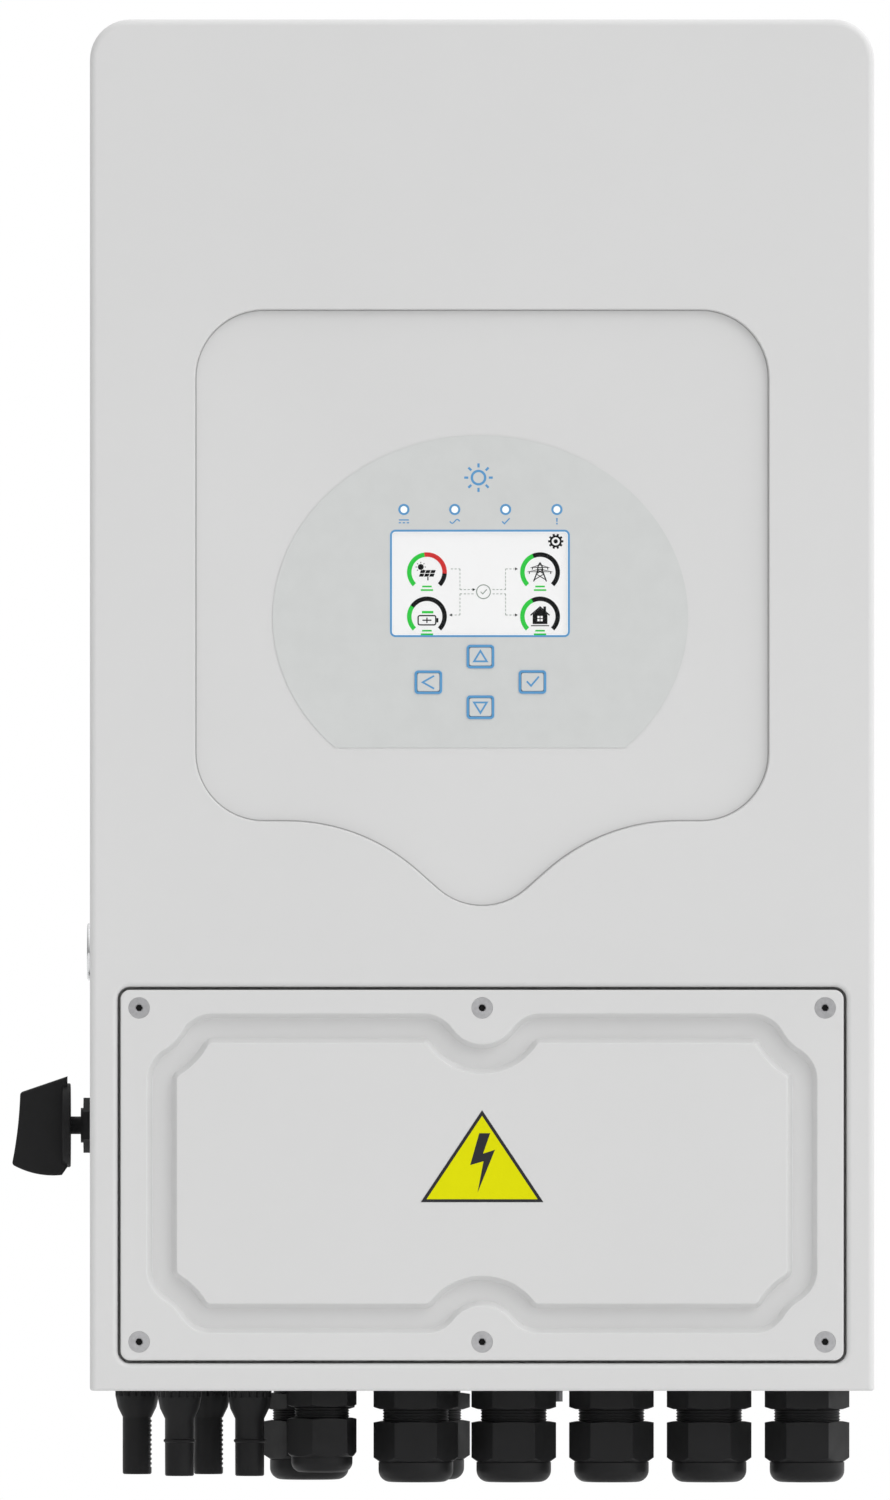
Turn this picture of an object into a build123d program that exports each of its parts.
from build123d import *

import math
import os

# Wall-hung hybrid string inverter, in millimetres.
# The front faces -Y, +X is to the right of a person facing it, +Z is up.
# The wall is the plane y = 0 and the origin is the centre of the wall bracket's four holes.
# Heights are measured from the underside of the case until save() moves them to the origin.

# ---- driving dimensions --------------------------------------------------------------------
CASE_W = 330.0
CASE_H = 577.0
FRONT_Y = -240.0            # front face of the case and of the terminal cover
CASE_BACK_Y = -90.0         # rear rim of the case
WALL = 3.0                  # wall of the cast case
TOP_CORNER_R = 17.0
FRONT_EDGE_R = 2.8          # round of the front edge at the sides and top
LOW_EDGE_R = 1.2            # round of the lower front edge and lower corners
RIM_W = 13.0                # inward rim that the heat sink is screwed to
RIM_T = 6.0
RIM_SCREW_R = 2.0
RIM_SCREW_HEAD_R = 4.0
RIM_SCREW_HEAD_T = 3.0
RIM_SCREW_INSET = 7.0
SIDE_SCREW_Z = (24.0, 130.0, 236.0, 342.0, 448.0, 548.0)
END_SCREW_X = (-100.0, 0.0, 100.0)
ORIGIN_Z = 440.0            # height of the wall bracket's hole pattern

# sunk shield-shaped panel
PANEL_DEPTH = 3.0
PANEL_HALF_W = 120.9
PANEL_TOP = 455.1
PANEL_SIDE_BOTTOM = 239.35
PANEL_TIP = 203.7
PANEL_CORNER_R = 29.0
SHOULDER_X = 82.2
SHOULDER_R = 82.4
TIP_R = 28.2
PANEL_DRAFT = 0.3
PANEL_EDGE_R = 0.4

# display, keys and lamps
PANEL_Y = FRONT_Y + PANEL_DEPTH
OVERLAY_T = 0.3
OVERLAY_X = -0.7
OVERLAY_Z = 325.4
OVERLAY_A = 87.4
OVERLAY_B = 76.6
OVERLAY_CUT_Z = 270.6
SCREEN_X = -0.9
SCREEN_Z = 339.7
SCREEN_W = 74.0
SCREEN_H = 43.5
SCREEN_R = 1.5
SCREEN_GAP = 0.2
KEY_W = 9.5
KEY_H = 7.8
KEY_R = 1.0
KEY_PROUD = 0.3
KEY_TRAVEL = 0.5
KEYS = {"key_up": (-0.7, 308.9), "key_back": (-22.6, 298.1),
        "key_enter": (21.2, 298.2), "key_down": (-0.7, 287.6)}
LED_Z = 370.8
LED_X = (-32.9, -11.5, 9.9, 31.5)
LED_R = 1.4
MODULE_HALF_W = 44.0        # screen cell's frame
MODULE_Z = (316.5, 364.5)
BOARD_T = 1.6
CONTROL_BOARD_Y = -226.0
CONTROL_BOARD_HALF_W = 75.0
CONTROL_BOARD_Z = (278.0, 396.0)
POST_X = 66.0
POST_Z = (286.0, 388.0)
POST_R = 3.5
POST_HOLE_R = 1.5
KEY_SHOULDER_T = 0.8
KEY_SHOULDER_GROW = 1.6       # how much longer and wider the shoulder is than the cap
KEY_STEM_R = 1.5
KEY_SWITCH_HALF = 3.0
KEY_SWITCH_T = 3.5
KEY_PLUNGER_R = 1.7
KEY_PLUNGER_T = 0.8

# terminal cover
COVER_HALF_W = 152.1
COVER_LOW = 12.8
COVER_HIGH = 168.7
COVER_R = 4.0
COVER_T = 3.0
COVER_GAP = 1.2
POCKET_EDGE_R = 2.2         # round of the case's edge along the cover's gap
CHANNEL_HALF_W = 134.7
CHANNEL_LOW = 30.4
CHANNEL_HIGH = 152.5
CHANNEL_DEPTH = 5.0
CHANNEL_HALF = 6.4          # half width at the face
CHANNEL_SLOPE = 3.0         # how far each side wall leans
CHANNEL_SKIN = 1.2          # how much wider the channel is at the back of the cover
LEDGE_Y = -229.0
LEDGE_T = 3.0
LEDGE_INSET = 6.0           # the wiring opening's edge inside the channel's middle
SCREW_X = (-144.3, 0.0, 144.3)
SCREW_Z = (20.6, 161.1)
SCREW_R = 2.5
SCREW_HEAD_R = 4.55
SCREW_BOSS_R = 6.0
CORNER_RELIEF_R = 26.7
MID_RELIEF_R = 21.5
RELIEF_BLEND_R = 8.8

# left side: push button above, DC switch below
SIDE_Y = -165.0
BUTTON_Z = 184.3
BUTTON_BEZEL_D = 24.4
BUTTON_PROUD = 1.9
BUTTON_CAP_D = 16.4
BUTTON_BARREL_R = 11.0
BUTTON_BARREL_L = 22.0
BUTTON_CAP_BORE = 12.0      # depth of the cap's guide in the barrel
BUTTON_CAP_L = 7.0
BUTTON_STEM_R = 4.0
BUTTON_SWITCH_HALF = 10.0
BUTTON_SWITCH_L = 18.0
SWITCH_Z = 110.9
SWITCH_SHAFT_R = 3.75
SWITCH_BUSH_R = 7.35
SWITCH_NUT_AC = 23.3
SWITCH_NUT_T = 3.5
SWITCH_BODY = 46.0
SWITCH_BODY_L = 50.0
SWITCH_SHAFT_OUT = 26.0     # shaft's reach outside and inside the case's side
SWITCH_SHAFT_IN = 21.0
KNOB_HALF_T = 6.5
KNOB_DISC_R = 17.75
KNOB_DISC = (8.9, 12.3)     # disc's near and far face, out from the case's side

# bottom row positions
FRONT_ROW_Y = -203.0
BACK_ROW_Y = -152.0
M25_X = (-27.9, 13.4, 54.6, 95.8, 137.1)
M20_X = (-67.5,)
M32_X = (-73.0, -24.2)
PV_FRONT_X = (-127.6, -98.0)
PV_REAR_X = (-145.8, -115.6)
PV_FRONT_Y = -200.0
PV_REAR_Y = -164.0
PV_THREAD_R = 6.0
DATA_PORT_X = 19.0
PORT_FLANGE_L = 31.0
PORT_FLANGE_W = 12.6
PORT_FLANGE_T = 1.2
PORT_SHELL_L = 19.2
PORT_SHELL_W = 8.4
PORT_SHELL_R = 2.6
PORT_SHELL_H = 8.4
PORT_SHELL_T = 0.65
PORT_RECESS = 1.4
PORT_PILLAR_X = 12.5
PORT_PILLAR_W = 5.4
PORT_PILLAR_H = 6.2
PORT_THREAD_R = 1.3
PORT_THREAD_END = 2.0       # thickness left above the pillar's thread
PORT_PIN_R = 0.55
PORT_PIN_DEPTH = 3.0
PORT_PITCH = 2.76
PORT_ROW_Y = 1.4
PORT_REAR_L = 23.6
PORT_REAR_W = 9.6
PORT_REAR_H = 9.0
PORT_GAP = 0.2

# cable glands: thread and hexagon sizes, heights below the case underside
M25 = dict(thread=25.0, hexagon=35.7, flange=(0.0, 8.4), neck=27.8, nut=(13.5, 30.7),
           dome=31.5, bottom=39.1, round_r=5.0, bore=19.0, cable=14.0, mouth=18.0, turn=0)
M20 = dict(thread=20.0, hexagon=30.2, flange=(0.0, 7.4), neck=23.0, nut=(12.0, 28.5),
           dome=25.8, bottom=34.9, round_r=4.2, bore=14.0, cable=9.0, mouth=13.0, turn=15)
M32 = dict(thread=32.0, hexagon=38.3, flange=(2.5, 9.5), neck=31.0, nut=(14.0, 30.7),
           dome=33.4, bottom=39.1, round_r=5.0, bore=21.0, cable=16.0, mouth=20.0, turn=0)
SLEEVE_STEP = 0.9           # the gland's sleeve is this much slimmer than its neck
GLAND_MOUTH_T = 3.0         # end wall of the dome nut
GLAND_THREAD_L = 12.0
LOCKNUT_T = 5.0
SEAL_L = 12.0

# heat sink and hanging gear
SINK_FRONT_Y = -88.0
SINK_BACK_Y = -82.0
FIN_TIP_Y = -20.0
FIN_T = 2.6
FIN_PITCH = 12.0
FIN_COUNT = 25
FIN_LOW = 20.0
FIN_HIGH = 557.0
RIB_X = 84.0                # two solid ribs that carry the hanging plate
RIB_W = 13.0
HANGER_T = 2.5
HANGER_BACK_Y = FIN_TIP_Y + HANGER_T
HANGER_HALF_W = 133.5
HANGER_LOW = 400.0
HANGER_SCREW_Z = (412.0, 446.0, 474.0)
HANGER_SCREW_R = 2.5
HOOK_Z = 482.0
HOOK_X = (40.0, 110.0)
HOOK_BACK_Y = -5.5
HOOK_DROP = 9.5
EAR_Z = (410.0, 450.0)
LOCK_SCREW_R = 3.0
LOCK_SCREW_Y = -9.0
LOCK_SCREW_Z = 430.0
BRACKET_T = 3.0
BRACKET_HALF_W = 130.0
BRACKET_LOW = 405.0
BRACKET_HIGH = 470.0
WALL_HOLE_X = 110.0
WALL_HOLE_DZ = 20.0
WALL_HOLE_R = 4.5
LIP_FRONT_Y = -13.0         # the bracket's lip stands forward of the wall
LIP_T = 2.5

# boards: each is left, right, low, high
MAIN_BOARD_Y = -110.0       # front face of the two rear boards
POWER_BOARD = (-145.0, 145.0, 214.0, 556.0)
WIRING_BOARD = (-104.0, 148.0, 58.0, 200.0)
POWER_STANDOFFS = ((-138.0, 138.0), (222.0, 385.0, 548.0))
WIRING_STANDOFFS = ((-97.0, 141.0), (66.0, 192.0))
STANDOFF_R = 4.0
STANDOFF_SCREW_R = 1.9

# power parts
MODULE_X = (-80.0, 0.0, 80.0)
MODULE_Z_MID = 500.0
MODULE_HALF = (31.0, 22.0)
MODULE_T = 12.0
MODULE_PIN_PITCH = 12.0
CAN_X = (-110.0, -68.0, -26.0, 16.0, 58.0, 100.0)
CAN_Z = 525.0
CAN_R = 17.5
CAN_L = 50.0
CHOKE_X = (-98.0, -24.0)
CHOKE_Z = (404.0, 468.0)
CHOKE_HALF_W = 32.0
CHOKE_L = 46.0
CORE_X = (42.0, 118.0)
CORE_Z = (400.0, 472.0)
CORE_LEG = 12.0             # outer legs and yokes; the middle leg is wider
CORE_MID_LEG = 16.0
WINDING_HALF_W = 24.0
RING_X = -80.0
RING_Z = 330.0
RING_R = 24.0
RING_WIRE_R = 12.0
RELAY_X = (14.0, 56.0, 98.0)
RELAY_Z = (250.0, 296.0)
RELAY_HALF = (15.0, 16.0)
RELAY_L = 27.0
RIBBON_HALF_W = 16.0
RIBBON_Z = 360.0
DIVIDER_Z = 206.0
SHEET_T = 1.5

# wiring compartment
BUSBAR_X = (-84.0, -56.0)
BUSBAR_HALF_W = 6.0
BUSBAR_T = 3.0
BUSBAR_TOP_Z = 234.0
BATTERY_BLOCK = (-99.0, -41.0, 92.0, 132.0)
BATTERY_BLOCK_T = 16.0
STUD_Z = 112.0
STUD_R = 4.0
AC_BLOCK_X = (-12.0, 40.0, 92.0)
AC_BLOCK_W = 46.0
AC_BLOCK_Z = (92.0, 124.0)
AC_BLOCK_T = 30.0
AC_POLE_PITCH = 15.0
AC_SCREW_Z = 114.0
SIGNAL_X = (-36.0, 74.0)
SIGNAL_Z = (158.0, 172.0)
SIGNAL_WAYS = 20
JACK_X = (84.0, 101.0, 118.0)
JACK_W = 15.0
JACK_Z = (157.0, 172.0)
EARTH_X = (20.0, 116.0)
EARTH_Z = (66.0, 76.0)
EARTH_SCREW_X = (32.0, 56.0, 80.0, 104.0)

SEAT = 0.05                 # gap between a thread or shank and its hole
SHAFT_GAP = 0.06            # gap between the switch's shaft and its bore
CLEAR = 0.3                 # gap around a piece that moves


# ---- small helpers ---------------------------------------------------------------------------
def block(x0, x1, y0, y1, z0, z1):
    """Box between two corners."""
    centre = Pos((x0 + x1) / 2, (y0 + y1) / 2, (z0 + z1) / 2)
    return centre * Box(abs(x1 - x0), abs(y1 - y0), abs(z1 - z0))


def rod(axis, radius, start, end, a, b):
    """Cylinder along X, Y or Z; a and b are its place on the other two axes."""
    length = abs(end - start)
    middle = (start + end) / 2
    if axis == "X":
        return Pos(middle, a, b) * Rot(0, 90, 0) * Cylinder(radius, length)
    if axis == "Y":
        return Pos(a, middle, b) * Rot(90, 0, 0) * Cylinder(radius, length)
    return Pos(a, b, middle) * Cylinder(radius, length)


def slab(sketch, y0, y1, taper=0.0):
    """Sketch drawn as (x, z), extruded from y0 towards y1; a taper narrows it on the way."""
    direction = 1 if y1 > y0 else -1
    plane = Plane(origin=(0, y0, 0), x_dir=(-direction, 0, 0), z_dir=(0, direction, 0))
    flat = sketch if direction < 0 else mirror(sketch, about=Plane.YZ)
    return extrude(plane * flat, amount=abs(y1 - y0), taper=taper)


def hexagon(axis, across_corners, start, end, a, b, turn=0.0):
    """Hexagonal prism along X or Z."""
    length = abs(end - start)
    outline = RegularPolygon(across_corners / 2, 6, rotation=turn)
    prism = extrude(outline, amount=length)
    low = min(start, end)
    if axis == "X":
        return Pos(low, a, b) * Rot(0, 90, 0) * prism
    return Pos(a, b, low) * prism


def rounded(width, height, radius, x=0.0, z=0.0):
    """Rounded rectangle centred on (x, z)."""
    return Pos(x, z) * RectangleRounded(width, height, radius)


def save(name, *shapes):
    """Write one node, moved so that the wall hole pattern is at the origin."""
    solids = [solid for shape in shapes for solid in shape.solids()]
    moved = [Pos(0, 0, -ORIGIN_Z) * solid for solid in solids]
    whole = moved[0] if len(moved) == 1 else Compound(moved)
    whole.label = name
    export_step(whole, f"parts/{name}.step")


# ---- outlines --------------------------------------------------------------------------------
def case_outline(inset=0.0):
    """Front outline of the case: large radii above, square below."""
    half = CASE_W / 2 - inset
    low = inset
    high = CASE_H - inset
    body = Pos(0, (low + high) / 2) * Rectangle(2 * half, high - low)
    top = body.vertices().sort_by(Axis.Y)[-2:]
    return fillet(top, TOP_CORNER_R - inset)


def panel_outline():
    """Shield outline of the sunk panel: straight sides, sloping shoulders and a round tip."""
    tip_centre_z = PANEL_TIP + TIP_R
    shoulder_z = PANEL_SIDE_BOTTOM - SHOULDER_R
    rise = tip_centre_z - shoulder_z
    reach = math.hypot(SHOULDER_X, rise)
    turn = math.atan2(SHOULDER_X, rise) - math.acos((SHOULDER_R + TIP_R) / reach)

    def on_shoulder(angle):
        return (-SHOULDER_X + SHOULDER_R * math.sin(angle), shoulder_z + SHOULDER_R * math.cos(angle))

    def on_tip(angle):
        return (-TIP_R * math.sin(angle), tip_centre_z - TIP_R * math.cos(angle))

    top_left = (-PANEL_HALF_W, PANEL_TOP)
    low_left = (-PANEL_HALF_W, PANEL_SIDE_BOTTOM)
    outline = Polyline((0, PANEL_TOP), top_left, low_left, on_shoulder(0))
    outline += ThreePointArc(on_shoulder(0), on_shoulder(turn / 2), on_shoulder(turn))
    outline += Line(on_shoulder(turn), on_tip(turn))
    outline += ThreePointArc(on_tip(turn), on_tip(turn / 2), on_tip(0))
    outline += Line(on_tip(0), (0, PANEL_TOP))
    half = make_face(outline)
    whole = half + mirror(half, about=Plane.YZ)
    corners = [v for v in whole.vertices() if abs(abs(v.X) - PANEL_HALF_W) < 0.01]
    return fillet(corners, PANEL_CORNER_R)


def channel_centreline():
    """Area inside the middle of the cover's pressed channel, which steps round the six screws."""
    middle = (CHANNEL_LOW + CHANNEL_HIGH) / 2
    area = Pos(0, middle) * Rectangle(2 * CHANNEL_HALF_W, CHANNEL_HIGH - CHANNEL_LOW)
    for x in SCREW_X:
        relief = CORNER_RELIEF_R if x else MID_RELIEF_R
        for z in SCREW_Z:
            area -= Pos(x, z) * Circle(relief)
    return fillet(area.vertices(), RELIEF_BLEND_R)


def channel_band(centre, y0, y1, half):
    """Ring along the channel, half wide each side at y0 and leaning inwards towards y1."""
    lean = math.degrees(math.atan(CHANNEL_SLOPE / CHANNEL_DEPTH))
    outer = slab(offset(centre, amount=half), y0, y1, taper=lean)
    inner = slab(offset(centre, amount=-half), y0, y1, taper=-lean)
    return outer - inner


def cover_screw_places():
    return [(x, z) for x in SCREW_X for z in SCREW_Z]


# ---- case ------------------------------------------------------------------------------------
def case_screw_places():
    """Screws through the heat sink's edge into the case rim."""
    side_x = CASE_W / 2 - RIM_SCREW_INSET
    sides = [(s * side_x, z) for s in (-1, 1) for z in SIDE_SCREW_Z]
    ends = [(x, z) for x in END_SCREW_X for z in (RIM_SCREW_INSET, CASE_H - RIM_SCREW_INSET)]
    return sides + ends


def control_board_posts():
    return [(x, z) for x in (-POST_X, POST_X) for z in POST_Z]


def key_opening(name):
    x, z = KEYS[name]
    return rounded(KEY_W + 2 * CLEAR, KEY_H + 2 * CLEAR, KEY_R, x, z)


def cover_outline(margin=0.0):
    """Rounded rectangle of the terminal cover, widened by a margin."""
    width = 2 * (COVER_HALF_W + margin)
    height = COVER_HIGH - COVER_LOW + 2 * margin
    return rounded(width, height, COVER_R + margin, 0, (COVER_LOW + COVER_HIGH) / 2)


def case_hollow(cover_back):
    """Inside of the case, less what stands into it behind the panel and round the cover."""
    hollow = slab(case_outline(WALL), FRONT_Y + WALL, CASE_BACK_Y - RIM_T)
    hollow += slab(case_outline(RIM_W), CASE_BACK_Y - RIM_T, CASE_BACK_Y)
    hollow -= slab(offset(panel_outline(), amount=WALL), FRONT_Y, PANEL_Y + WALL)
    return hollow - slab(cover_outline(COVER_GAP + WALL), FRONT_Y, cover_back)


def front_edges(shape, front_y):
    """Edges that lie in the plane y = front_y."""
    return shape.edges().filter_by(lambda edge: abs(edge.center().Y - front_y) < 0.01)


def case_block():
    """Solid block of the case's outer shape with its rounded edges."""
    whole = slab(case_outline(), FRONT_Y, CASE_BACK_Y)
    upper = [edge for edge in front_edges(whole, FRONT_Y) if edge.center().Z > 1]
    whole = fillet(upper, FRONT_EDGE_R)
    lower = front_edges(whole, FRONT_Y).sort_by(Axis.Z)[0]
    return fillet(lower, LOW_EDGE_R)


def case_front():
    """Outer block with the sunk panel and the cover's pocket, before it is hollowed."""
    front = case_block()
    lean = math.degrees(math.atan(PANEL_DRAFT / PANEL_DEPTH))
    front -= slab(panel_outline(), FRONT_Y, PANEL_Y, taper=lean)
    front -= slab(cover_outline(COVER_GAP), FRONT_Y, LEDGE_Y)
    mouths = [edge for edge in front_edges(front, FRONT_Y) if abs(edge.center().X) < CASE_W / 2 - 8.0]
    pocket_mouth = [edge for edge in mouths if 5.0 < edge.center().Z < COVER_HIGH + 5.0]
    panel_mouth = [edge for edge in mouths if PANEL_TIP - 5.0 < edge.center().Z < PANEL_TOP + 5.0]
    front = fillet(pocket_mouth, POCKET_EDGE_R)
    panel_mouth = [edge for edge in front_edges(front, FRONT_Y) if same_place(edge, panel_mouth)]
    return fillet(panel_mouth, PANEL_EDGE_R)


def same_place(edge, others):
    return any((edge.center() - other.center()).length < 0.01 for other in others)


def case_shell(centre):
    ledge_back = LEDGE_Y + LEDGE_T
    shell = case_front() - case_hollow(ledge_back)
    shell -= slab(offset(centre, amount=-LEDGE_INSET), LEDGE_Y, ledge_back)
    for x, z in cover_screw_places():
        shell += rod("Y", SCREW_BOSS_R, FRONT_Y + COVER_T, ledge_back + 7.0, x, z)
        shell -= rod("Y", SCREW_R + SEAT, FRONT_Y + COVER_T, ledge_back + 5.0, x, z)

    shell -= slab(rounded(SCREEN_W, SCREEN_H, SCREEN_R, SCREEN_X, SCREEN_Z), PANEL_Y, PANEL_Y + WALL)
    for name in KEYS:
        shell -= slab(key_opening(name), PANEL_Y, PANEL_Y + WALL)
    for x in LED_X:
        shell -= rod("Y", LED_R + SEAT, PANEL_Y, PANEL_Y + WALL, x, LED_Z)
    for x, z in control_board_posts():
        shell += rod("Y", POST_R, PANEL_Y + WALL, CONTROL_BOARD_Y, x, z)
        shell -= rod("Y", POST_HOLE_R, PANEL_Y + WALL, CONTROL_BOARD_Y, x, z)

    left = -CASE_W / 2
    shell -= rod("X", BUTTON_BARREL_R + 3 * SEAT, left, left + WALL, SIDE_Y, BUTTON_Z)
    shell -= rod("X", SWITCH_BUSH_R + SEAT, left, left + WALL, SIDE_Y, SWITCH_Z)
    for x, y, size in gland_places():
        shell -= rod("Z", size["thread"] / 2 + SEAT, 0, WALL, x, y)
    for x, y in pv_places():
        shell -= rod("Z", PV_THREAD_R + SEAT, 0, WALL, x, y)
    half_l, half_w = PORT_REAR_L / 2 + PORT_GAP, PORT_REAR_W / 2 + PORT_GAP
    port_x = (DATA_PORT_X - half_l, DATA_PORT_X + half_l)
    port_y = (BACK_ROW_Y - half_w, BACK_ROW_Y + half_w)
    shell -= block(*port_x, *port_y, 0, WALL)
    for x, z in case_screw_places():
        shell -= rod("Y", RIM_SCREW_R + SEAT, CASE_BACK_Y - RIM_T, CASE_BACK_Y, x, z)
    return shell


def case_gasket():
    ring = case_outline(1.5) - case_outline(RIM_W)
    gasket = slab(ring, CASE_BACK_Y, SINK_FRONT_Y)
    for x, z in case_screw_places():
        gasket -= rod("Y", RIM_SCREW_R + CLEAR, CASE_BACK_Y, SINK_FRONT_Y, x, z)
    return gasket


def case_screws():
    screws = []
    for x, z in case_screw_places():
        top = SINK_BACK_Y + RIM_SCREW_HEAD_T
        head = rod("Y", RIM_SCREW_HEAD_R, SINK_BACK_Y, top, x, z)
        head = fillet(head.edges().sort_by(Axis.Y)[-1], 1.2)
        head -= hexagon_recess(x, z, SINK_BACK_Y + 1.2, top)
        screws.append(head + rod("Y", RIM_SCREW_R, CASE_BACK_Y - RIM_T - 1.0, SINK_BACK_Y, x, z))
    return screws


# ---- heat sink and hanging gear --------------------------------------------------------------
def hanger_screw_places():
    return [(s * RIB_X, z) for s in (-1, 1) for z in HANGER_SCREW_Z]


def fin_places():
    """Fins at an even pitch, leaving out those that the two ribs stand in for."""
    first = -FIN_PITCH * (FIN_COUNT - 1) / 2
    places = [first + FIN_PITCH * index for index in range(FIN_COUNT)]
    return [x for x in places if abs(abs(x) - RIB_X) > FIN_PITCH / 2]


def heat_sink():
    sink = slab(case_outline(0.4), SINK_FRONT_Y, SINK_BACK_Y)
    for x in fin_places():
        sink += block(x - FIN_T / 2, x + FIN_T / 2, SINK_BACK_Y, FIN_TIP_Y, FIN_LOW, FIN_HIGH)
    for side in (-1, 1):
        x = side * RIB_X
        sink += block(x - RIB_W / 2, x + RIB_W / 2, SINK_BACK_Y, FIN_TIP_Y, FIN_LOW, FIN_HIGH)
    for x, z in hanger_screw_places():
        sink -= rod("Y", HANGER_SCREW_R + SEAT, FIN_TIP_Y - 16.0, FIN_TIP_Y, x, z)
    for x, z in case_screw_places():
        sink -= rod("Y", RIM_SCREW_R + CLEAR, SINK_FRONT_Y, SINK_BACK_Y, x, z)
    return sink


def hanging_plate():
    """Plate on the fin tips, with two hooks that drop behind the bracket's lip."""
    half = HANGER_HALF_W
    plate = block(-half, half, FIN_TIP_Y, HANGER_BACK_Y, HANGER_LOW, HOOK_Z + HANGER_T)
    for side in (-1, 1):
        x0, x1 = side * HOOK_X[0], side * HOOK_X[1]
        plate += block(x0, x1, HANGER_BACK_Y, HOOK_BACK_Y, HOOK_Z, HOOK_Z + HANGER_T)
        plate += block(x0, x1, HOOK_BACK_Y - HANGER_T, HOOK_BACK_Y, HOOK_Z - HOOK_DROP, HOOK_Z)
        x0, x1 = side * (half - HANGER_T), side * half
        ear = block(x0, x1, HANGER_BACK_Y, -4.0, EAR_Z[0] - 5.0, EAR_Z[1] + 5.0)
        plate += ear - rod("X", LOCK_SCREW_R + 2 * SEAT, x0, x1, LOCK_SCREW_Y, LOCK_SCREW_Z)
    for x, z in hanger_screw_places():
        plate -= rod("Y", HANGER_SCREW_R + 2 * SEAT, FIN_TIP_Y, HANGER_BACK_Y, x, z)
    return plate


def hanging_plate_screws():
    screws = []
    for x, z in hanger_screw_places():
        head = rod("Y", 4.6, HANGER_BACK_Y, HANGER_BACK_Y + 3.0, x, z)
        head = fillet(head.edges().sort_by(Axis.Y)[-1], 1.4)
        head -= hexagon_recess(x, z, HANGER_BACK_Y + 1.2, HANGER_BACK_Y + 3.0)
        screws.append(head + rod("Y", HANGER_SCREW_R, FIN_TIP_Y - 15.0, HANGER_BACK_Y, x, z))
    return screws


def hexagon_recess(x, z, y0, y1):
    return slab(Pos(x, z) * RegularPolygon(1.7, 6), y0, y1)


def wall_bracket():
    """Plate on the wall whose upper edge steps forward and up to make the hook's lip."""
    half = BRACKET_HALF_W
    lip = half - 12.0
    bracket = block(-half, half, -BRACKET_T, 0, BRACKET_LOW, BRACKET_HIGH)
    bracket += block(-lip, lip, LIP_FRONT_Y, -BRACKET_T, BRACKET_HIGH - LIP_T, BRACKET_HIGH)
    bracket += block(-lip, lip, LIP_FRONT_Y, LIP_FRONT_Y + LIP_T, BRACKET_HIGH, HOOK_Z)
    for side in (-1, 1):
        x0, x1 = side * (half - LIP_T), side * half
        ear = block(x0, x1, LIP_FRONT_Y - 2.0, -BRACKET_T, *EAR_Z)
        bracket += ear - rod("X", LOCK_SCREW_R + SEAT, x0, x1, LOCK_SCREW_Y, LOCK_SCREW_Z)
        for z in (ORIGIN_Z - WALL_HOLE_DZ, ORIGIN_Z + WALL_HOLE_DZ):
            bracket -= rod("Y", WALL_HOLE_R, -BRACKET_T, 0, side * WALL_HOLE_X, z)
    return bracket


def bracket_lock_screws():
    screws = []
    for side in (-1, 1):
        start = side * HANGER_HALF_W
        head = hexagon("X", 11.0, start, start + side * 4.0, LOCK_SCREW_Y, LOCK_SCREW_Z)
        shank_end = side * (BRACKET_HALF_W - 8.0)
        screws.append(head + rod("X", LOCK_SCREW_R, shank_end, start, LOCK_SCREW_Y, LOCK_SCREW_Z))
    return screws


# ---- display, lamps and keys -----------------------------------------------------------------
def front_overlay():
    """Printed film on the panel: an ellipse cut flat below, open over screen, lamps and keys."""
    film = Pos(OVERLAY_X, OVERLAY_Z) * Ellipse(OVERLAY_A, OVERLAY_B)
    film -= Pos(OVERLAY_X, OVERLAY_CUT_Z - OVERLAY_B) * Rectangle(3 * OVERLAY_A, 2 * OVERLAY_B)
    film -= rounded(SCREEN_W, SCREEN_H, SCREEN_R, SCREEN_X, SCREEN_Z)
    for name in KEYS:
        film -= key_opening(name)
    for x in LED_X:
        film -= Pos(x, LED_Z) * Circle(LED_R + SEAT)
    return slab(film, PANEL_Y - OVERLAY_T, PANEL_Y)


def screen_lens():
    """Outline of the screen window, a little smaller than its opening."""
    gap = 2 * SCREEN_GAP
    return rounded(SCREEN_W - gap, SCREEN_H - gap, SCREEN_R - SCREEN_GAP, SCREEN_X, SCREEN_Z)


def display_window():
    return slab(screen_lens(), PANEL_Y - OVERLAY_T, PANEL_Y + 1.0)


def display_module():
    """Screen cell in its frame, between the case and the control board."""
    face = slab(screen_lens(), PANEL_Y + 1.0, PANEL_Y + WALL)
    left, right = SCREEN_X - MODULE_HALF_W, SCREEN_X + MODULE_HALF_W
    return face + block(left, right, PANEL_Y + WALL, CONTROL_BOARD_Y, *MODULE_Z)


def control_board():
    half = CONTROL_BOARD_HALF_W
    board = block(-half, half, CONTROL_BOARD_Y, CONTROL_BOARD_Y + BOARD_T, *CONTROL_BOARD_Z)
    for x, z in control_board_posts():
        board -= rod("Y", POST_HOLE_R, CONTROL_BOARD_Y, CONTROL_BOARD_Y + BOARD_T, x, z)
    return board


def led_light_pipes():
    return [rod("Y", LED_R, PANEL_Y - OVERLAY_T, CONTROL_BOARD_Y, x, LED_Z) for x in LED_X]


def key_switches():
    switches = []
    half = KEY_SWITCH_HALF
    front = CONTROL_BOARD_Y - KEY_SWITCH_T
    for x, z in KEYS.values():
        base = block(x - half, x + half, front, CONTROL_BOARD_Y, z - half, z + half)
        switches.append(base + rod("Y", KEY_PLUNGER_R, front - KEY_PLUNGER_T, front, x, z))
    return switches


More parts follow.
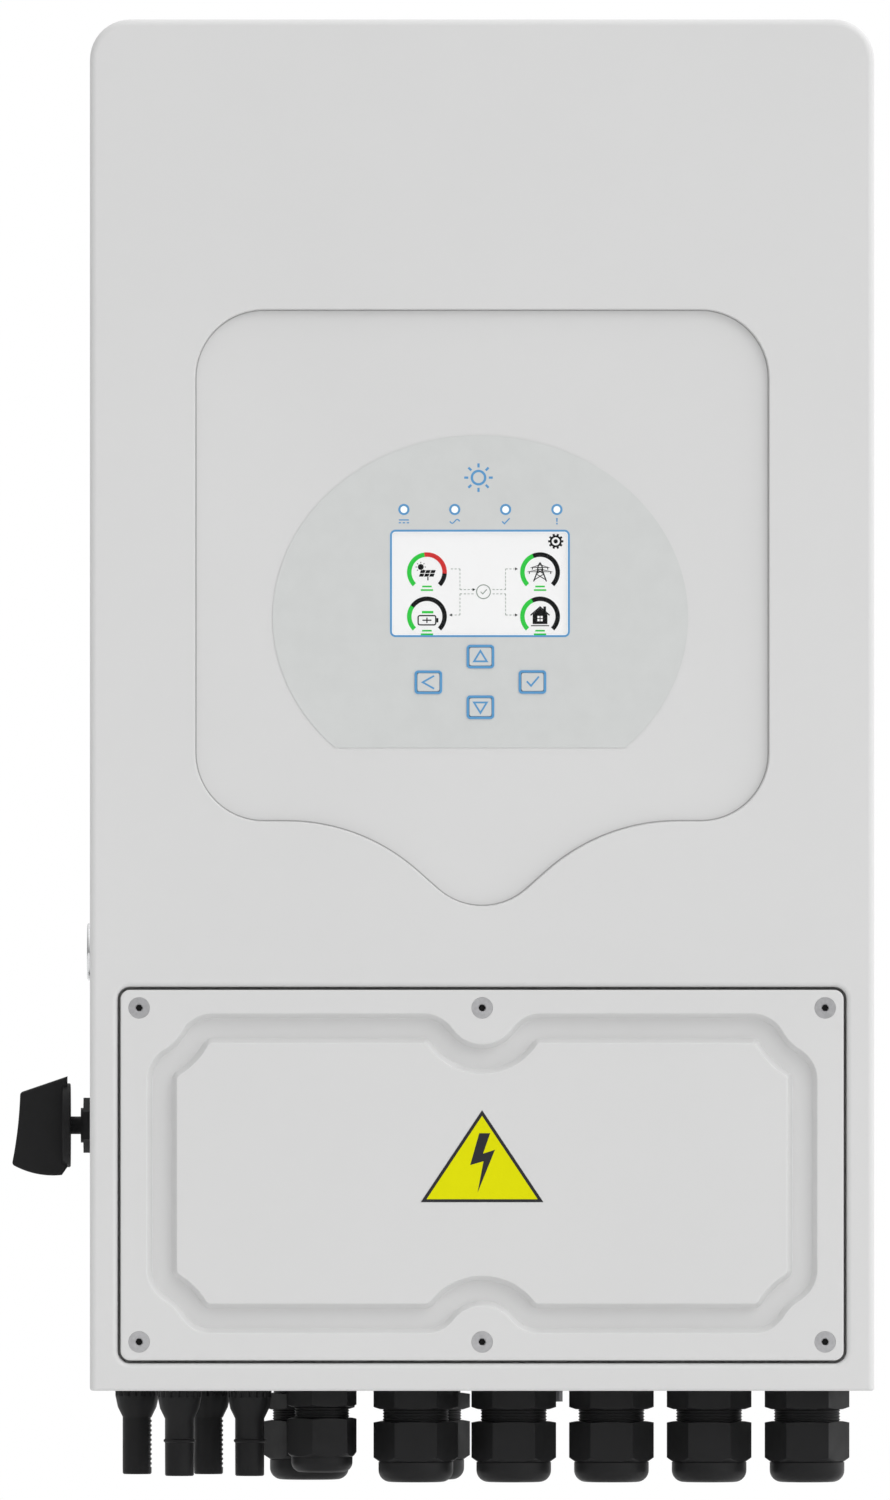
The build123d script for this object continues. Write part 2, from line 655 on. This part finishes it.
def key_cap(name):
    """Key with a shoulder behind the panel and a stem that works its switch."""
    x, z = KEYS[name]
    front = PANEL_Y - OVERLAY_T - KEY_PROUD
    shoulder = PANEL_Y + WALL + CLEAR
    cap = slab(rounded(KEY_W, KEY_H, KEY_R, x, z), front, shoulder)
    cap = fillet(front_edges(cap, front), 0.4)
    stem_start = shoulder + KEY_SHOULDER_T
    stem_end = CONTROL_BOARD_Y - KEY_SWITCH_T - KEY_PLUNGER_T - KEY_TRAVEL - 2 * SEAT
    wide, tall = KEY_W + KEY_SHOULDER_GROW, KEY_H + KEY_SHOULDER_GROW
    cap += slab(rounded(wide, tall, KEY_R, x, z), shoulder, stem_start)
    return cap + rod("Y", KEY_STEM_R, stem_start, stem_end, x, z)


# ---- terminal cover --------------------------------------------------------------------------
def terminal_cover(centre):
    cover = slab(cover_outline(), FRONT_Y, FRONT_Y + COVER_T)
    cover = fillet(front_edges(cover, FRONT_Y), 0.7)
    back = FRONT_Y + COVER_T
    cover += channel_band(centre, back, back + CHANNEL_DEPTH, CHANNEL_HALF + CHANNEL_SKIN)
    cover -= channel_band(centre, FRONT_Y, FRONT_Y + CHANNEL_DEPTH, CHANNEL_HALF)
    for x, z in cover_screw_places():
        cover -= rod("Y", SCREW_R + CLEAR, FRONT_Y, FRONT_Y + COVER_T, x, z)
        cover -= countersink(x, z, SCREW_HEAD_R + SEAT)
    return cover


def countersink(x, z, radius):
    """Cone whose wide end lies in the front face."""
    depth = radius - SCREW_R
    return Pos(x, FRONT_Y + depth / 2, z) * Rot(90, 0, 0) * Cone(SCREW_R, radius, depth)


def cover_screws():
    screws = []
    for x, z in cover_screw_places():
        screw = countersink(x, z, SCREW_HEAD_R) + rod("Y", SCREW_R, FRONT_Y + 1.5, LEDGE_Y + 5.0, x, z)
        screws.append(screw - hexagon_recess(x, z, FRONT_Y, FRONT_Y + 2.2))
    return screws


def cover_gasket(centre):
    ring = offset(centre, amount=2.4) - offset(centre, amount=-2.4)
    return slab(ring, FRONT_Y + COVER_T + CHANNEL_DEPTH, LEDGE_Y)


# ---- push button and DC switch ---------------------------------------------------------------
def button_bezel():
    left = -CASE_W / 2
    inner_end = left + BUTTON_BARREL_L
    ring = rod("X", BUTTON_BEZEL_D / 2, left - BUTTON_PROUD, left, SIDE_Y, BUTTON_Z)
    ring = fillet(ring.edges().sort_by(Axis.X)[0], 1.0)
    ring += rod("X", BUTTON_BARREL_R, left, inner_end, SIDE_Y, BUTTON_Z)
    bore_end = left + BUTTON_CAP_BORE
    ring -= rod("X", BUTTON_CAP_D / 2 + CLEAR, left - BUTTON_PROUD, bore_end, SIDE_Y, BUTTON_Z)
    return ring - rod("X", BUTTON_STEM_R + CLEAR, bore_end, inner_end, SIDE_Y, BUTTON_Z)


def button_nut():
    inner = -CASE_W / 2 + WALL
    nut = hexagon("X", 31.0, inner, inner + 4.0, SIDE_Y, BUTTON_Z)
    return nut - rod("X", BUTTON_BARREL_R + SEAT, inner, inner + 4.0, SIDE_Y, BUTTON_Z)


def button_switch():
    start = -CASE_W / 2 + BUTTON_BARREL_L
    end = start + BUTTON_SWITCH_L
    half = BUTTON_SWITCH_HALF
    housing = block(start, end, SIDE_Y - half, SIDE_Y + half, BUTTON_Z - half, BUTTON_Z + half)
    return housing - rod("X", BUTTON_STEM_R + CLEAR, start, start + 6.0, SIDE_Y, BUTTON_Z)


def button_cap():
    left = -CASE_W / 2
    cap = rod("X", BUTTON_CAP_D / 2, left - BUTTON_PROUD + 0.3, left + BUTTON_CAP_L, SIDE_Y, BUTTON_Z)
    cap = fillet(cap.edges().sort_by(Axis.X)[0], 0.5)
    stem_end = left + BUTTON_BARREL_L + 2.0
    return cap + rod("X", BUTTON_STEM_R, left + BUTTON_CAP_L, stem_end, SIDE_Y, BUTTON_Z)


def dc_switch_body():
    """Isolator block inside the case, held by a threaded bush through the side wall."""
    left = -CASE_W / 2
    half = SWITCH_BODY / 2
    back = left + SWITCH_BODY_L
    body = block(left + WALL, back + WALL, SIDE_Y - half, SIDE_Y + half, SWITCH_Z - half, SWITCH_Z + half)
    body = fillet(body.edges().filter_by(Axis.X), 2.5)
    for offset_z in (-13.5, -4.5, 4.5, 13.5):
        z = SWITCH_Z + offset_z
        body -= block(left + 20.0, back, SIDE_Y - half, SIDE_Y - half + 4.0, z - 2.8, z + 2.8)
    body += rod("X", SWITCH_BUSH_R, left - SWITCH_NUT_T - 1.1, left + WALL, SIDE_Y, SWITCH_Z)
    bore = SWITCH_SHAFT_R + SHAFT_GAP
    return body - rod("X", bore, left - 5.0, left + SWITCH_SHAFT_IN + 1.0, SIDE_Y, SWITCH_Z)


def dc_switch_nut():
    left = -CASE_W / 2
    nut = hexagon("X", SWITCH_NUT_AC, left - SWITCH_NUT_T, left, SIDE_Y, SWITCH_Z)
    return nut - rod("X", SWITCH_BUSH_R + SEAT, left - SWITCH_NUT_T, left, SIDE_Y, SWITCH_Z)


def dc_switch_shaft():
    left = -CASE_W / 2
    return rod("X", SWITCH_SHAFT_R, left - SWITCH_SHAFT_OUT, left + SWITCH_SHAFT_IN, SIDE_Y, SWITCH_Z)


def grip_outline():
    """Side of the grip: distance from the wall against height over the shaft."""
    upper_tip = (10.3, 20.7)
    upper_edge = (30.2, 13.9)
    lower_edge = (33.7, -16.5)
    lower_tip = (12.6, -21.0)
    outline = Line((10.3, -17.7), (10.3, 17.7))
    outline += Line((10.3, 17.7), upper_tip)
    outline += Line(upper_tip, upper_edge)
    outline += ThreePointArc(upper_edge, (31.0, 1.4), lower_edge)
    outline += ThreePointArc(lower_edge, (24.5, -20.2), lower_tip)
    outline += Line(lower_tip, (10.3, -17.7))
    side = make_face(outline)
    return fillet(side.vertices().sort_by(Axis.X)[-2:], 1.6)


def dc_switch_knob():
    left = -CASE_W / 2
    near, far = KNOB_DISC
    half = KNOB_HALF_T
    side = mirror(grip_outline(), about=Plane.YZ)
    grip = slab(Pos(left, SWITCH_Z) * side, SIDE_Y - half, SIDE_Y + half)
    flanks = grip.edges().filter_by(lambda edge: abs(abs(edge.center().Y - SIDE_Y) - half) < 0.01)
    grip = fillet(flanks, 1.0)
    disc = rod("X", KNOB_DISC_R, left - far, left - near, SIDE_Y, SWITCH_Z)
    disc = fillet(disc.edges(), 0.6)
    bore_r = SWITCH_SHAFT_R + SEAT
    return grip + disc - rod("X", bore_r, left - SWITCH_SHAFT_OUT, left - near, SIDE_Y, SWITCH_Z)


# ---- bottom entries --------------------------------------------------------------------------
def gland_places():
    places = [(x, FRONT_ROW_Y, M25) for x in M25_X]
    places += [(x, FRONT_ROW_Y, M20) for x in M20_X]
    places += [(x, BACK_ROW_Y, M32) for x in M32_X]
    return places


def placed(size, make):
    return [Pos(x, y, 0) * make(size) for x, y, kind in gland_places() if kind is size]


def gland_body(size):
    """Hexagonal flange under the case, thread up through it and a sleeve down into the nut."""
    top, bottom = size["flange"]
    sleeve_r = size["neck"] / 2 - SLEEVE_STEP
    body = hexagon("Z", size["hexagon"], -bottom, -top, 0, 0, size["turn"])
    if top:
        body += rod("Z", size["hexagon"] / 2 - 4.0, -top, 0, 0, 0)
    body += rod("Z", size["thread"] / 2, 0, GLAND_THREAD_L, 0, 0)
    body += rod("Z", size["neck"] / 2, -size["nut"][0], -bottom, 0, 0)
    body += rod("Z", sleeve_r, -size["nut"][1] + GLAND_MOUTH_T, -size["nut"][0], 0, 0)
    return body - rod("Z", size["bore"] / 2, -size["nut"][1], GLAND_THREAD_L, 0, 0)


def gland_nut(size):
    """Hexagonal dome nut with a round mouth."""
    top, bottom = size["nut"]
    low = -size["bottom"]
    nut = hexagon("Z", size["hexagon"], -bottom, -top, 0, 0, size["turn"])
    nut &= chamfered_disc(size["hexagon"] / 2, -bottom, -top)
    dome = rod("Z", size["dome"] / 2, low, -bottom, 0, 0)
    dome = fillet(dome.edges().sort_by(Axis.Z)[0], size["round_r"])
    nut += dome
    nut -= rod("Z", size["neck"] / 2 - SLEEVE_STEP + SEAT, low + GLAND_MOUTH_T, -top, 0, 0)
    return nut - rod("Z", size["mouth"] / 2, low, low + GLAND_MOUTH_T, 0, 0)


def chamfered_disc(radius, z0, z1):
    disc = rod("Z", radius, z0, z1, 0, 0)
    return chamfer(disc.edges().filter_by(GeomType.CIRCLE), 1.2, 2.0)


def gland_seal(size):
    """Rubber sleeve in the bore with a collar that the nut squeezes."""
    sleeve_end = -size["nut"][1] + GLAND_MOUTH_T
    low = -size["bottom"] + GLAND_MOUTH_T
    top = sleeve_end + SEAL_L
    seal = rod("Z", size["bore"] / 2 - SEAT, sleeve_end, top, 0, 0)
    seal += rod("Z", size["neck"] / 2 - SLEEVE_STEP - SEAT, low, sleeve_end, 0, 0)
    return seal - rod("Z", size["cable"] / 2, low, top, 0, 0)


def gland_locknut(size):
    nut = hexagon("Z", size["thread"] * 1.3, WALL, WALL + LOCKNUT_T, 0, 0, size["turn"])
    return nut - rod("Z", size["thread"] / 2 + SEAT, WALL, WALL + LOCKNUT_T, 0, 0)


def pv_places():
    return [(x, PV_FRONT_Y) for x in PV_FRONT_X] + [(x, PV_REAR_Y) for x in PV_REAR_X]


def pv_inlet(x, y, ribbed):
    """Round PV panel connector: conical foot, ridge, latch sleeve and a contact in its bore."""
    foot = [(0, 14.0), (PV_THREAD_R, 14.0), (PV_THREAD_R, 0), (9.3, 0), (9.3, -3.4), (8.2, -8.2)]
    sleeve = [(6.15, -12.4), (6.15, -20.9), (6.7, -21.4), (6.7, -22.1), (6.15, -22.6), (6.05, -36.6)]
    profile = Polyline(*foot, *sleeve, (0, -36.6), close=True)
    inlet = revolve(Plane.XZ * make_face(profile), Axis.Z)
    inlet -= rod("Z", 3.9, -36.6, -14.0, 0, 0)
    inlet += rod("Z", 1.6, -31.0, -14.0, 0, 0)
    if ribbed:
        for index in range(16):
            inlet -= Rot(0, 0, index * 22.5) * rod("Z", 0.8, -3.4, 0, 9.7, 0)
    return Pos(x, y, 0) * inlet


def pv_nut(x, y):
    nut = hexagon("Z", 19.0, WALL, WALL + 4.0, 0, 0)
    return Pos(x, y, 0) * (nut - rod("Z", PV_THREAD_R + SEAT, WALL, WALL + 4.0, 0, 0))


def data_port():
    """Nine-pole socket under the case with its two hexagonal pillars."""
    half_l, half_w = PORT_FLANGE_L / 2, PORT_FLANGE_W / 2
    port = block(-half_l, half_l, -half_w, half_w, -PORT_FLANGE_T, 0)
    outer = RectangleRounded(PORT_SHELL_L, PORT_SHELL_W, PORT_SHELL_R)
    inner = offset(outer, amount=-PORT_SHELL_T)
    port += Pos(0, 0, -PORT_SHELL_H) * extrude(outer, amount=PORT_SHELL_H - PORT_FLANGE_T)
    port -= Pos(0, 0, -PORT_SHELL_H) * extrude(inner, amount=PORT_RECESS)
    for x in (-PORT_PILLAR_X, PORT_PILLAR_X):
        port += hexagon("Z", PORT_PILLAR_W, -PORT_PILLAR_H, -PORT_FLANGE_T, x, 0)
        port -= rod("Z", PORT_THREAD_R, -PORT_PILLAR_H, -PORT_THREAD_END, x, 0)
    pin_top = PORT_PIN_DEPTH - PORT_SHELL_H + PORT_RECESS
    for row, count in ((PORT_ROW_Y, 5), (-PORT_ROW_Y, 4)):
        for index in range(count):
            x = PORT_PITCH * (index - (count - 1) / 2)
            port -= rod("Z", PORT_PIN_R, PORT_RECESS - PORT_SHELL_H, pin_top, x, row)
    half_l, half_w = PORT_REAR_L / 2, PORT_REAR_W / 2
    port += block(-half_l, half_l, -half_w, half_w, 0, PORT_REAR_H)
    return Pos(DATA_PORT_X, BACK_ROW_Y, 0) * port


# ---- boards and power parts ------------------------------------------------------------------
def standoff_places():
    groups = (POWER_STANDOFFS, WIRING_STANDOFFS)
    return [(x, z) for columns, rows in groups for x in columns for z in rows]


def plain_board(limits):
    x0, x1, z0, z1 = limits
    board = block(x0, x1, MAIN_BOARD_Y, MAIN_BOARD_Y + BOARD_T, z0, z1)
    for x, z in standoff_places():
        board -= rod("Y", STANDOFF_SCREW_R + 2 * SEAT, MAIN_BOARD_Y, MAIN_BOARD_Y + BOARD_T, x, z)
    return board


def board_standoffs():
    """Pillars from the heat sink to the two rear boards, each with its screw."""
    pillars = []
    for x, z in standoff_places():
        pillar = rod("Y", STANDOFF_R, MAIN_BOARD_Y + BOARD_T, SINK_FRONT_Y, x, z)
        pillar += rod("Y", STANDOFF_SCREW_R, MAIN_BOARD_Y, MAIN_BOARD_Y + BOARD_T, x, z)
        pillars.append(pillar + rod("Y", STANDOFF_R - 0.6, MAIN_BOARD_Y - 2.4, MAIN_BOARD_Y, x, z))
    return pillars


def power_modules():
    """Three switching modules clamped to the heat sink, with pins up into the power board."""
    modules = []
    half_w, half_h = MODULE_HALF
    front = SINK_FRONT_Y - MODULE_T
    z = MODULE_Z_MID
    for x in MODULE_X:
        module = block(x - half_w, x + half_w, front, SINK_FRONT_Y, z - half_h, z + half_h)
        for step in range(-2, 3):
            for side in (-1, 1):
                pin_x = x + MODULE_PIN_PITCH * step
                module += rod("Y", 0.8, MAIN_BOARD_Y + BOARD_T, front, pin_x, z + side * 18.0)
        modules.append(module)
    return modules


def dc_link_capacitors():
    cans = []
    for x in CAN_X:
        can = rod("Y", CAN_R, MAIN_BOARD_Y - CAN_L, MAIN_BOARD_Y, x, CAN_Z)
        cans.append(fillet(can.edges().sort_by(Axis.Y)[0], 2.0))
    return cans


def boost_inductors():
    """Two potted boost chokes in open metal tubs."""
    chokes = []
    for x in CHOKE_X:
        tub = block(x - CHOKE_HALF_W, x + CHOKE_HALF_W, MAIN_BOARD_Y - CHOKE_L, MAIN_BOARD_Y, *CHOKE_Z)
        chokes.append(fillet(tub.edges().filter_by(Axis.Y), 6.0))
    return chokes


def transformer():
    """High-frequency battery transformer: ferrite core through a wound bobbin."""
    front, back = MAIN_BOARD_Y - 52.0, MAIN_BOARD_Y - 4.0
    middle = (CORE_X[0] + CORE_X[1]) / 2
    leg = CORE_MID_LEG / 2
    low, high = CORE_Z[0] + CORE_LEG, CORE_Z[1] - CORE_LEG
    core = block(*CORE_X, front, back, *CORE_Z)
    core -= block(CORE_X[0] + CORE_LEG, middle - leg, front, back, low, high)
    core -= block(middle + leg, CORE_X[1] - CORE_LEG, front, back, low, high)
    low, high = low + 2.0, high - 2.0
    winding = block(middle - WINDING_HALF_W, middle + WINDING_HALF_W, front - 8.0, MAIN_BOARD_Y, low, high)
    return core, winding - block(middle - leg, middle + leg, front, back, low, high)


def filter_choke():
    """Ring choke of the grid filter, standing on the power board."""
    ring = Pos(RING_X, MAIN_BOARD_Y - 15.0, RING_Z) * Rot(90, 0, 0) * Torus(RING_R, RING_WIRE_R)
    half = RING_R
    left, right = RING_X - half, RING_X + half
    base = block(left, right, MAIN_BOARD_Y - 5.0, MAIN_BOARD_Y, RING_Z - half, RING_Z + half)
    return ring + base


def relays():
    boxes = []
    half_w, half_h = RELAY_HALF
    front = MAIN_BOARD_Y - RELAY_L
    for z in RELAY_Z:
        for x in RELAY_X:
            relay = block(x - half_w, x + half_w, front, MAIN_BOARD_Y, z - half_h, z + half_h)
            boxes.append(fillet(relay.edges().filter_by(Axis.Y), 1.5))
    return boxes


def control_ribbon():
    """Flat lead from the control board straight back to the power board, with its two plugs."""
    back = CONTROL_BOARD_Y + BOARD_T
    half = RIBBON_HALF_W
    plug = half + 3.0
    low, high = RIBBON_Z - 4.0, RIBBON_Z + 4.0
    lead = block(-half, half, back + 6.0, MAIN_BOARD_Y - 8.0, RIBBON_Z - 0.6, RIBBON_Z + 0.6)
    lead += block(-plug, plug, back, back + 6.0, low, high)
    return lead + block(-plug, plug, MAIN_BOARD_Y - 8.0, MAIN_BOARD_Y, low, high)


def divider_plate():
    """Folded sheet that closes the wiring space from the power space."""
    half = CASE_W / 2 - 6.0
    front = -222.0
    top = DIVIDER_Z + SHEET_T
    plate = block(-half, half, front, -98.0, DIVIDER_Z, top)
    plate += block(-half, half, front, front + SHEET_T, top, top + 9.5)
    for x in BUSBAR_X:
        plate -= block(x - 8.0, x + 8.0, MAIN_BOARD_Y - 14.0, MAIN_BOARD_Y + 3.0, DIVIDER_Z, top)
    return plate


# ---- wiring compartment ----------------------------------------------------------------------
def battery_terminals():
    """Insulating block for two studs, with a fin between the poles."""
    left, right, low, high = BATTERY_BLOCK
    front = MAIN_BOARD_Y - BATTERY_BLOCK_T
    middle = (left + right) / 2
    base = block(left, right, front, MAIN_BOARD_Y, low, high)
    return base + block(middle - 1.5, middle + 1.5, front - 24.0, front, low, high)


def busbar_front():
    return MAIN_BOARD_Y - BATTERY_BLOCK_T - BUSBAR_T


def battery_studs():
    studs = []
    front = busbar_front()
    for x in BUSBAR_X:
        stud = rod("Y", STUD_R, front - 17.0, front, x, STUD_Z)
        studs.append(stud + slab(Pos(x, STUD_Z) * RegularPolygon(7.5, 6), front - 6.5, front))
    return studs


def battery_busbars():
    """Copper bars from the battery studs up to the power board."""
    bars = []
    front = busbar_front()
    run_back = MAIN_BOARD_Y - 6.0
    step_z = 139.0
    for x in BUSBAR_X:
        x0, x1 = x - BUSBAR_HALF_W, x + BUSBAR_HALF_W
        bar = block(x0, x1, front, front + BUSBAR_T, STUD_Z - 8.0, step_z + BUSBAR_T)
        bar += block(x0, x1, front + BUSBAR_T, run_back, step_z, step_z + BUSBAR_T)
        bar += block(x0, x1, run_back - BUSBAR_T, run_back, step_z + BUSBAR_T, BUSBAR_TOP_Z)
        bars.append(bar + block(x0, x1, run_back, MAIN_BOARD_Y, BUSBAR_TOP_Z - BUSBAR_T, BUSBAR_TOP_Z))
    return bars


def ac_pole_places(x0):
    return [x0 + 8.0 + AC_POLE_PITCH * pole for pole in range(3)]


def ac_terminals():
    """Three equal blocks: grid, load and generator, each with earth, neutral and line."""
    blocks = []
    low, high = AC_BLOCK_Z
    front = MAIN_BOARD_Y - AC_BLOCK_T
    for x0 in AC_BLOCK_X:
        body = block(x0, x0 + AC_BLOCK_W, front, MAIN_BOARD_Y, low, high)
        for x in ac_pole_places(x0):
            body -= rod("Y", 4.2, front, front + 10.0, x, AC_SCREW_Z)
            body -= block(x - 5.0, x + 5.0, front + 5.0, front + 17.0, low, low + 12.0)
        blocks.append(body)
    return blocks


def ac_terminal_screws():
    screws = []
    front = MAIN_BOARD_Y - AC_BLOCK_T + 5.0
    for x0 in AC_BLOCK_X:
        for x in ac_pole_places(x0):
            screw = rod("Y", 4.0, front, front + 5.0, x, AC_SCREW_Z)
            slot = block(x - 4.0, x + 4.0, front, front + 1.4, AC_SCREW_Z - 0.6, AC_SCREW_Z + 0.6)
            screws.append(screw - slot)
    return screws


def signal_terminals():
    """Row of small plug-in terminals for meters, sensors and dry contacts."""
    low, high = SIGNAL_Z
    front = MAIN_BOARD_Y - 18.0
    strip = block(*SIGNAL_X, front, MAIN_BOARD_Y, low, high)
    pitch = (SIGNAL_X[1] - SIGNAL_X[0] - 8.0) / (SIGNAL_WAYS - 1)
    for index in range(SIGNAL_WAYS):
        x = SIGNAL_X[0] + 4.0 + pitch * index
        strip -= rod("Y", 1.6, front, front + 6.0, x, high - 4.5)
        strip -= block(x - 1.7, x + 1.7, front, front + 10.0, low, low + 5.4)
    return strip


def modular_jacks():
    jacks = []
    low, high = JACK_Z
    wall = 1.6
    front = MAIN_BOARD_Y - 16.0
    for x in JACK_X:
        jack = block(x, x + JACK_W, front, MAIN_BOARD_Y, low, high)
        jacks.append(jack - block(x + wall, x + JACK_W - wall, front + 2.0, front + 11.0, low, high - 5.0))
    return jacks


def earth_bar():
    """Brass bar with four earth screws, below the terminal blocks."""
    front = MAIN_BOARD_Y - 8.0
    middle = (EARTH_Z[0] + EARTH_Z[1]) / 2
    bar = block(*EARTH_X, front, MAIN_BOARD_Y, *EARTH_Z)
    for x in EARTH_SCREW_X:
        bar += rod("Y", 4.2, front - 4.0, front, x, middle)
        bar -= block(x - 4.2, x + 4.2, front - 4.0, front - 2.8, middle - 0.6, middle + 0.6)
    return bar


# ---- write every node ------------------------------------------------------------------------
def write_case_and_back(centre):
    save("case_shell", case_shell(centre))
    save("case_gasket", case_gasket())
    save("case_screws", *case_screws())
    save("heat_sink", heat_sink())
    save("hanging_plate", hanging_plate())
    save("hanging_plate_screws", *hanging_plate_screws())
    save("wall_bracket", wall_bracket())
    save("bracket_lock_screws", *bracket_lock_screws())


def write_front(centre):
    save("front_overlay", front_overlay())
    save("display_window", display_window())
    save("display_module", display_module())
    save("control_board", control_board())
    save("led_light_pipes", *led_light_pipes())
    save("key_switches", *key_switches())
    for name in KEYS:
        save(name, key_cap(name))
    save("terminal_cover", terminal_cover(centre))
    save("cover_screws", *cover_screws())
    save("cover_gasket", cover_gasket(centre))


def write_side():
    save("button_bezel", button_bezel())
    save("button_nut", button_nut())
    save("button_switch", button_switch())
    save("button_cap", button_cap())
    save("dc_switch_body", dc_switch_body())
    save("dc_switch_nut", dc_switch_nut())
    save("dc_switch_shaft", dc_switch_shaft())
    save("dc_switch_knob", dc_switch_knob())


def write_bottom():
    sizes = {"m20": M20, "m25": M25, "m32": M32}
    for label, size in sizes.items():
        save(f"{label}_gland_bodies", *placed(size, gland_body))
        save(f"{label}_gland_nuts", *placed(size, gland_nut))
    save("gland_seals", *[solid for size in sizes.values() for solid in placed(size, gland_seal)])
    locknuts = [solid for size in sizes.values() for solid in placed(size, gland_locknut)]
    save("entry_locknuts", *locknuts, *[pv_nut(x, y) for x, y in pv_places()])
    save("pv_inlets_front", *[pv_inlet(x, PV_FRONT_Y, False) for x in PV_FRONT_X])
    save("pv_inlets_rear", *[pv_inlet(x, PV_REAR_Y, True) for x in PV_REAR_X])
    save("data_port", data_port())


def write_inside():
    save("power_board", plain_board(POWER_BOARD))
    save("wiring_board", plain_board(WIRING_BOARD))
    save("board_standoffs", *board_standoffs())
    save("power_modules", *power_modules())
    save("dc_link_capacitors", *dc_link_capacitors())
    save("boost_inductors", *boost_inductors())
    core, winding = transformer()
    save("transformer_core", core)
    save("transformer_winding", winding)
    save("filter_choke", filter_choke())
    save("relays", *relays())
    save("control_ribbon", control_ribbon())
    save("divider_plate", divider_plate())
    save("battery_terminal_block", battery_terminals())
    save("battery_studs", *battery_studs())
    save("battery_busbars", *battery_busbars())
    save("ac_terminal_blocks", *ac_terminals())
    save("ac_terminal_screws", *ac_terminal_screws())
    save("signal_terminals", signal_terminals())
    save("modular_jacks", *modular_jacks())
    save("earth_bar", earth_bar())


os.makedirs("parts", exist_ok=True)
centreline = channel_centreline()
write_case_and_back(centreline)
write_front(centreline)
write_side()
write_bottom()
write_inside()
